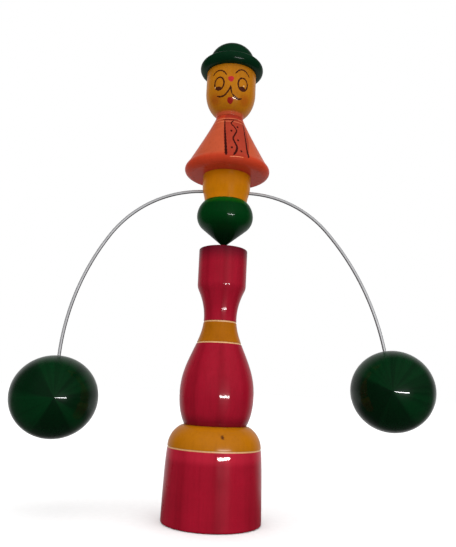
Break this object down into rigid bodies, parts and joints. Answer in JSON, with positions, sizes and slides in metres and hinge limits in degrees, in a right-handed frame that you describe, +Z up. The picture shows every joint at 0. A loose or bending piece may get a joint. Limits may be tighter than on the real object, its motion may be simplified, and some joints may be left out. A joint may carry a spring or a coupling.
{
  "type": "balancing toy",
  "caption": "Lacquered wooden doll that balances on its pointed foot on a turned stand, held upright by wooden balls on a bent wire through its waist.",
  "frame": {"origin": "middle of the stand's flat underside, on the table", "axes": "+Z up along the stand and the doll, -Y out of the doll's face, +X along the wire to the doll's arm on the right of the picture"},
  "size_m": [0.208, 0.0476, 0.2474],
  "materials": {
    "red_lac": "crimson lac, polished on the lathe",
    "yellow_lac": "ochre yellow lac, polished on the lathe",
    "green_lac": "bottle green lac, polished on the lathe",
    "orange_lac": "orange lac, polished on the lathe",
    "bare_wood": "bare",
    "steel": "bright drawn wire",
    "brass": "plain"
  },
  "bodies": {
    "stand": {"stand_base": "red_lac", "stand_column": "red_lac", "stand_dowel": "bare_wood"},
    "seat": {"pivot_seat": "brass"},
    "tip": {"pivot_ball": "steel"},
    "doll": {"foot": "green_lac", "waist": "yellow_lac", "tunic": "orange_lac", "head": "yellow_lac", "hat": "green_lac", "body_dowel": "bare_wood", "neck_dowel": "bare_wood", "hat_dowel": "bare_wood", "arm_wire": "steel", "left_ball": "green_lac", "right_ball": "green_lac"}
  },
  "joints": [
    {"name": "spin", "type": "hinge", "parent": "stand", "child": "seat", "pos_m": [0, 0, 0.1328], "axis": [0, 0, 1], "continuous": true},
    {"name": "rock_side", "type": "hinge", "parent": "seat", "child": "tip", "pos_m": [0, 0, 0.1328], "axis": [0, 1, 0], "range_deg": [-20, 20]},
    {"name": "rock_fore", "type": "hinge", "parent": "tip", "child": "doll", "pos_m": [0, 0, 0.1328], "axis": [1, 0, 0], "range_deg": [-25, 25]}
  ]
}
